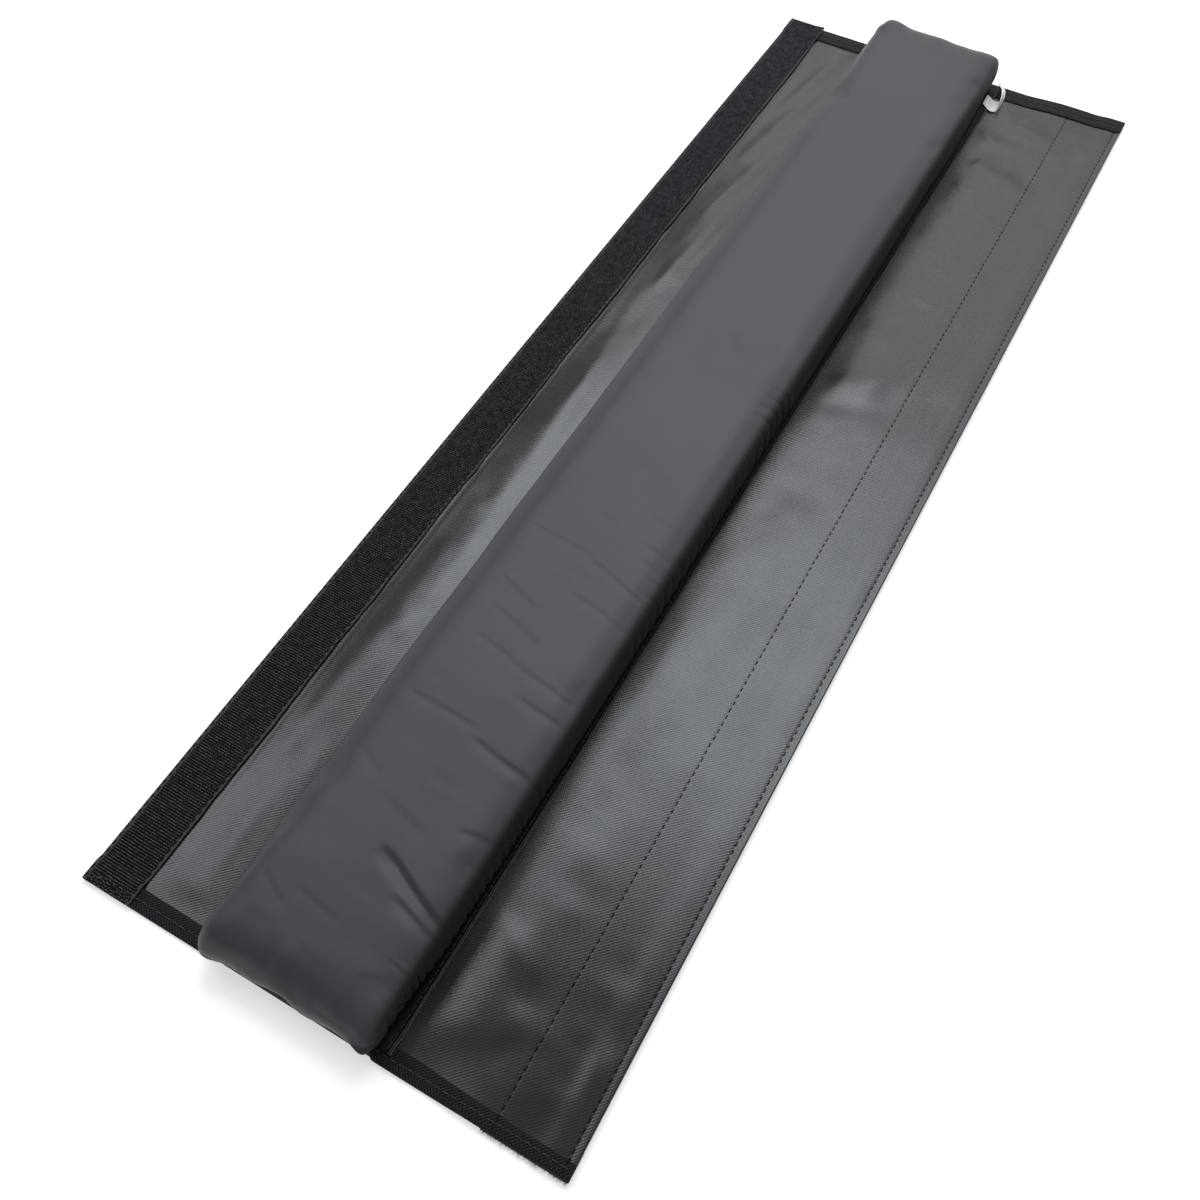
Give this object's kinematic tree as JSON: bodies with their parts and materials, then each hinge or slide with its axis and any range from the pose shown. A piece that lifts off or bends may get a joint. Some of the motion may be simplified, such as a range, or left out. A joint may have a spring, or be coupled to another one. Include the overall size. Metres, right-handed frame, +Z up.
{
  "type": "roof rack pad",
  "caption": "Wrap-around pad for a roof bar, opened out flat: coated cover with a padded sleeve, a hook tape on one edge and a loop tape under the other flap.",
  "frame": {"origin": "on the floor, under the middle of the opened pad's outline", "axes": "+Z up from the floor, +Y along the pad towards the end with the label, +X towards the flap with the loop tape"},
  "size_m": [0.236, 0.711, 0.0284],
  "materials": {
    "cover": "satin coated twill, dark grey",
    "hook_tape": "black nylon hook tape with fine cross rows",
    "loop_tape": "black nylon loop pile",
    "binding": "black woven binding tape, matt",
    "sleeve": "smooth plain-woven nylon, dark grey, soft sheen",
    "foam": "open-cell foam, dark",
    "label": "white woven ribbon, blank",
    "thread": "black polyester sewing thread"
  },
  "bodies": {
    "root": {"cover_sheet": "cover", "hook_strip": "hook_tape", "loop_strip": "loop_tape", "end_binding_near": "binding", "end_binding_far": "binding", "pad_sleeve": "sleeve", "foam_core": "foam", "care_label": "label", "hook_thread_outer": "thread", "hook_thread_inner": "thread", "hem_thread": "thread", "loop_thread": "thread", "sleeve_thread": "thread", "binding_thread_near": "thread", "binding_thread_far": "thread"}
  },
  "joints": []
}
